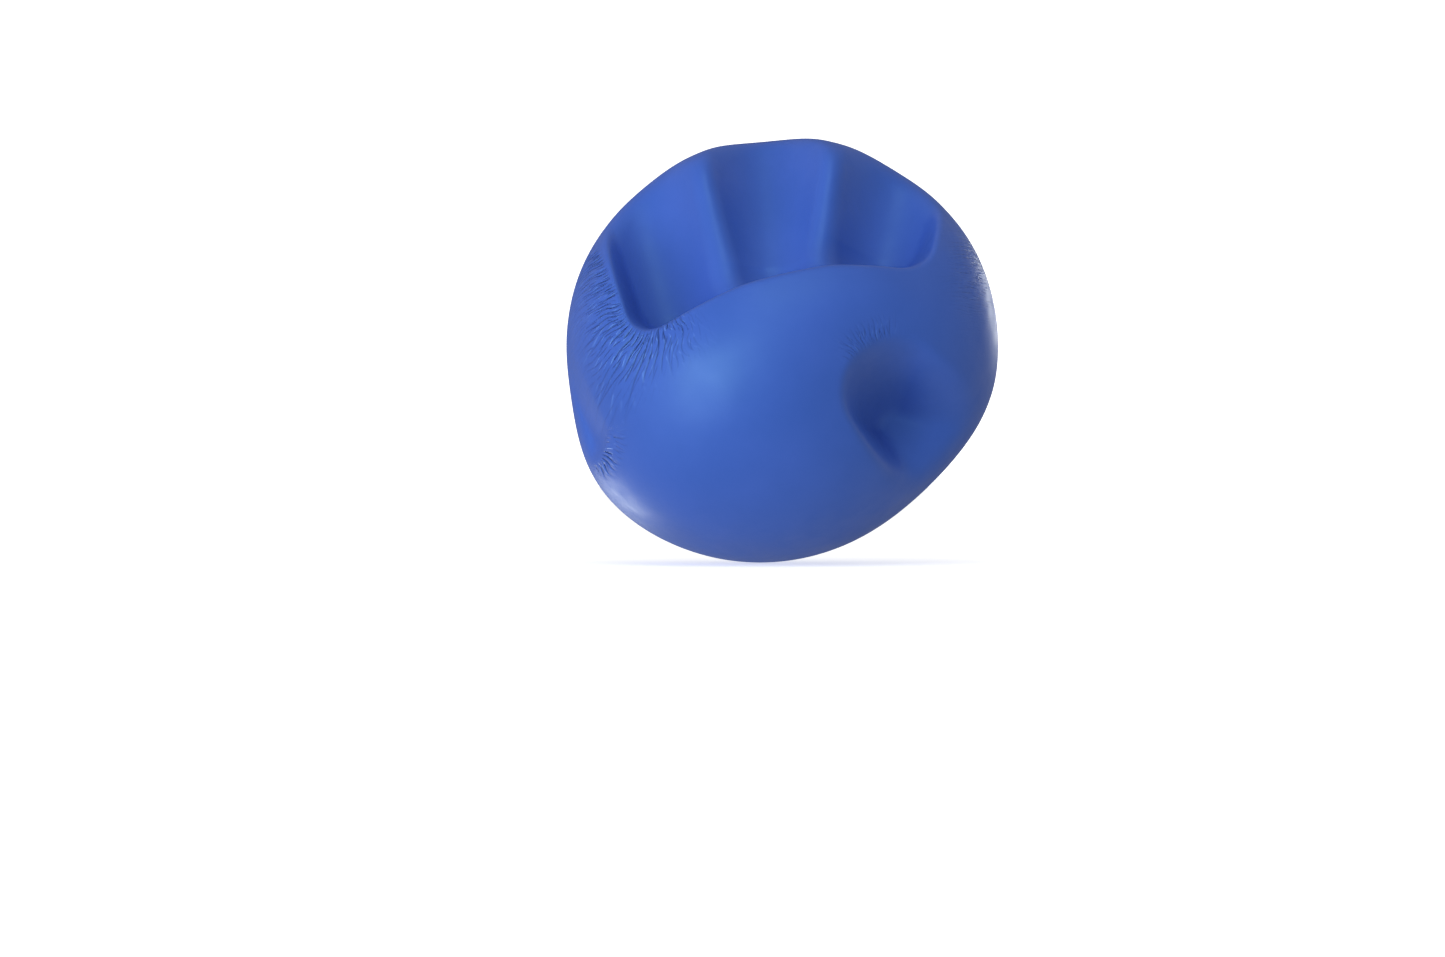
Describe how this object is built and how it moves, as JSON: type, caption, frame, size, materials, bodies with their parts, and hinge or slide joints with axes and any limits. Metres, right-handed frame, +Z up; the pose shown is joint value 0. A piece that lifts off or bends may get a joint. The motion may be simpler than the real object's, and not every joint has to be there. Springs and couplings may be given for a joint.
{
  "type": "stress ball",
  "caption": "Soft foam stress ball with a smooth coloured coat, squeezed by three fingertips, a thumb and a little finger, with pads that spring back to round.",
  "frame": {"origin": "centre of the round ball, which is also the centre of its box", "axes": "+Z up in the hand; -Y towards the fingertips that press the ball; +X to the thumb's side; the palm is on the +Y side"},
  "size_m": [0.07, 0.0699, 0.07],
  "materials": {
    "coat": "smooth satin elastomer coat, fine creases where it bunches",
    "rind": "dense matte foam skin",
    "core": "matte cellular foam"
  },
  "bodies": {
    "ball": {"coat_front": "coat", "coat_back": "coat", "foam_rind": "rind", "foam_core": "core", "pour_plug": "core"},
    "ring_press_foam": {"ring_pad": "coat"},
    "middle_press_foam": {"middle_pad": "coat"},
    "index_press_foam": {"index_pad": "coat"},
    "thumb_press_foam": {"thumb_pad": "coat"},
    "little_press_foam": {"little_pad": "coat"}
  },
  "joints": [
    {"name": "middle_press", "type": "slide", "parent": "ball", "child": "middle_press_foam", "axis": [0, 0.9511, -0.309], "range_m": [-0.016, 0.003], "stiffness_N_per_m": 600, "springref_m": -0.016},
    {"name": "ring_press", "type": "slide", "parent": "ball", "child": "ring_press_foam", "axis": [0, 0.9511, -0.309], "range_m": [-0.016, 0.003], "stiffness_N_per_m": 600, "springref_m": -0.016},
    {"name": "index_press", "type": "slide", "parent": "ball", "child": "index_press_foam", "axis": [0, 0.9511, -0.309], "range_m": [-0.016, 0.003], "stiffness_N_per_m": 600, "springref_m": -0.016},
    {"name": "thumb_press", "type": "slide", "parent": "ball", "child": "thumb_press_foam", "axis": [-0.5018, 0.8352, 0.225], "range_m": [-0.01, 0.0019], "stiffness_N_per_m": 600, "springref_m": -0.01},
    {"name": "little_press", "type": "slide", "parent": "ball", "child": "little_press_foam", "axis": [0.8548, 0.2777, 0.4384], "range_m": [-0.005, 0.00095], "stiffness_N_per_m": 600, "springref_m": -0.005}
  ],
  "couplings": [
    {"joint": "ring_press", "follows": "middle_press", "ratio": 1},
    {"joint": "index_press", "follows": "middle_press", "ratio": 1},
    {"joint": "thumb_press", "follows": "middle_press", "ratio": 0.625},
    {"joint": "little_press", "follows": "middle_press", "ratio": 0.3125}
  ]
}
